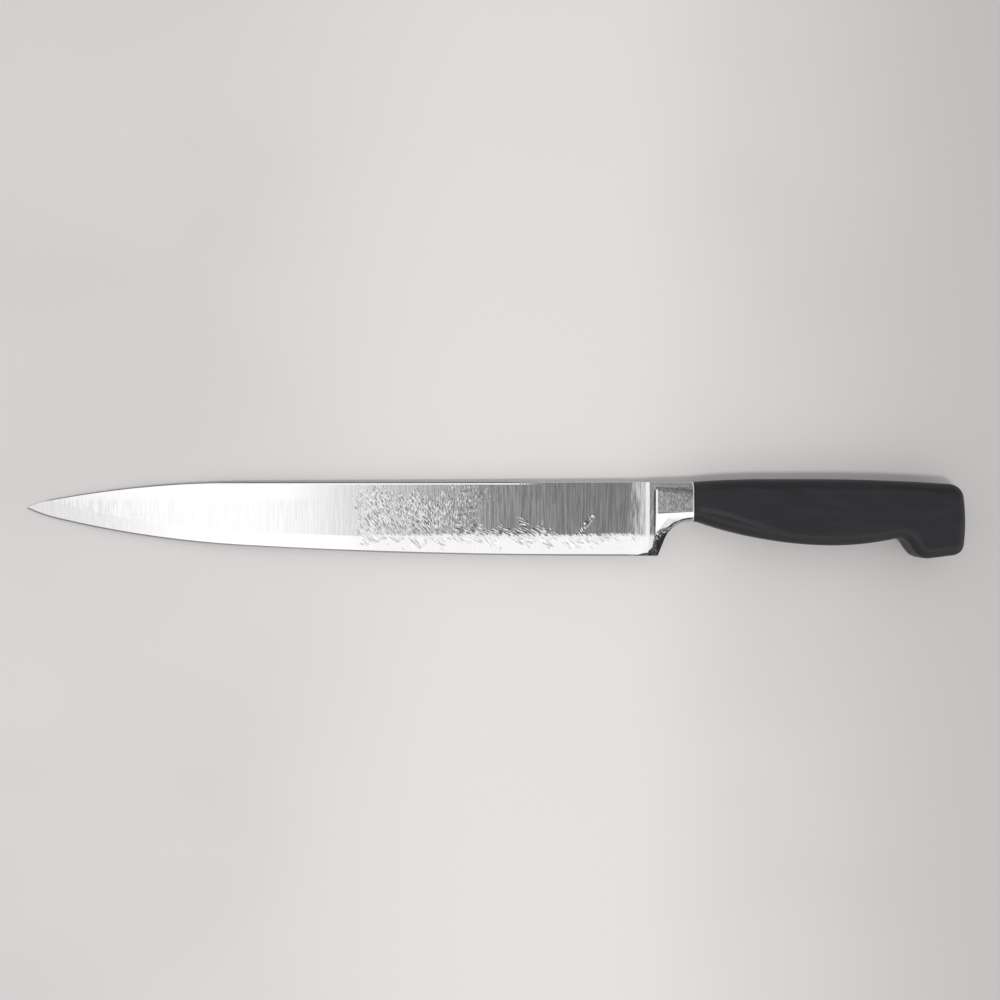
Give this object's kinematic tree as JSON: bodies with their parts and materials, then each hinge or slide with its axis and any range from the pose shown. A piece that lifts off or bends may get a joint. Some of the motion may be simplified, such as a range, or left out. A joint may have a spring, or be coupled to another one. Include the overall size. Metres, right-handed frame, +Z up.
{
  "type": "carving knife",
  "caption": "Long, narrow carving knife with a plain ground blade, a full steel bolster with finger guard and a hooked black moulded handle.",
  "frame": {"origin": "centre of the underside of the knife's bounding box, on the worktop that it lies on", "axes": "+X from the tip to the butt, +Y from the cutting edge to the spine, +Z up off the worktop"},
  "size_m": [0.3826, 0.0318, 0.0206],
  "materials": {
    "blade_steel": "fine vertical grind lines, hand-sharpened bright bevel, worn with diagonal scratches",
    "bolster_steel": "satin polished with a few pits",
    "tang_steel": "as forged, hidden",
    "core_plastic": "moulded, hidden",
    "grip_plastic": "satin moulded, faint handling wear"
  },
  "bodies": {
    "root": {"blade": "blade_steel", "bolster": "bolster_steel", "tang": "tang_steel", "handle_core": "core_plastic", "handle_grip": "grip_plastic"}
  },
  "joints": []
}
